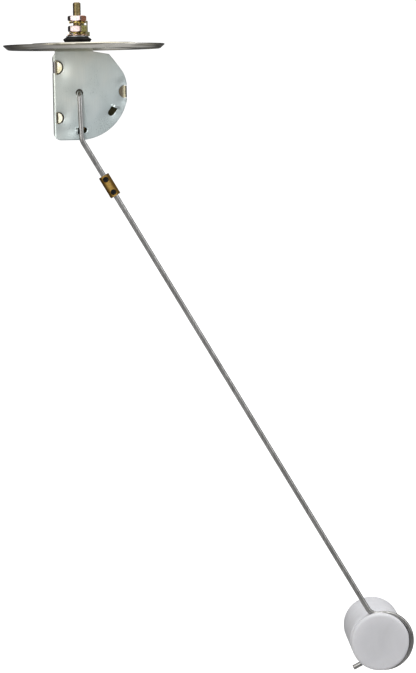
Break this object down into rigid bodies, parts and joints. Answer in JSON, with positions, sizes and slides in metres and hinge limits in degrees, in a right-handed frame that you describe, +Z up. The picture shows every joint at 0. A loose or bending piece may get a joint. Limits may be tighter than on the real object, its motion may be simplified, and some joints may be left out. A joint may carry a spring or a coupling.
{
  "type": "float-arm tank level sender",
  "caption": "Tank level sender: round flange with insulated stud, D-shaped rheostat housing and a swinging wire arm with a drum float.",
  "frame": {"origin": "centre of the flange's seating plane, the flat ring that lies on the tank's gasket", "axes": "+Z up the terminal stud, out of the tank; +Y from the front plate towards the back of the housing; +X to the side that the float arm swings towards"},
  "size_m": [0.2113, 0.084, 0.3558],
  "materials": {
    "flange_zinc": "bright clear zinc plate, slightly tarnished",
    "clear_zinc": "satin clear zinc plate with a bluish cast",
    "yellow_zinc": "yellow passivated zinc",
    "stud_zinc": "yellow passivated zinc",
    "nut_zinc": "yellow and pink passivated zinc",
    "tag_zinc": "olive passivated zinc",
    "washer_zinc": "clear zinc",
    "insulator_fibre": "vulcanised fibre",
    "black_rubber": "matt black rubber",
    "card_board": "phenolic paper board",
    "resistance_wire": "fine nickel alloy wire",
    "rivet_metal": "plain brass",
    "bush_bronze": "dark oiled sintered bronze",
    "bush_brass": "turned brass",
    "spring_brass": "rolled phosphor bronze",
    "contact_metal": "contact alloy",
    "spring_steel": "bright spring steel",
    "rod_steel": "bare drawn steel wire",
    "coupler_brass": "aged golden brass",
    "black_screw": "black oxide",
    "float_plastic": "milky white polyethylene"
  },
  "bodies": {
    "housing": {"mounting_flange": "flange_zinc", "front_plate": "clear_zinc", "housing_cover": "yellow_zinc", "terminal_stud": "stud_zinc", "stud_insulator": "insulator_fibre", "rubber_seal": "black_rubber", "flat_washer": "washer_zinc", "lower_tooth_washer": "stud_zinc", "terminal_tag": "tag_zinc", "lower_nut": "nut_zinc", "upper_lock_washer": "stud_zinc", "top_nut": "nut_zinc", "contact_strip": "spring_brass", "resistor_card": "card_board", "resistance_winding": "resistance_wire", "card_rivets": "rivet_metal", "card_spacers": "card_board", "front_bush": "bush_bronze", "rear_bush": "bush_bronze", "wave_washer": "spring_steel"},
    "arm": {"crank_rod": "rod_steel", "retaining_clip": "spring_steel", "wiper_hub": "bush_brass", "wiper_arm": "spring_brass", "wiper_contact": "contact_metal", "rod_coupler": "coupler_brass", "set_screws": "black_screw", "float_rod": "rod_steel", "float_body": "float_plastic", "float_cap": "float_plastic"}
  },
  "joints": [
    {"name": "arm_swing", "type": "hinge", "parent": "housing", "child": "arm", "pos_m": [-0.0028, -0.008, -0.0224], "axis": [0, -1, 0], "range_deg": [0, 60]}
  ]
}
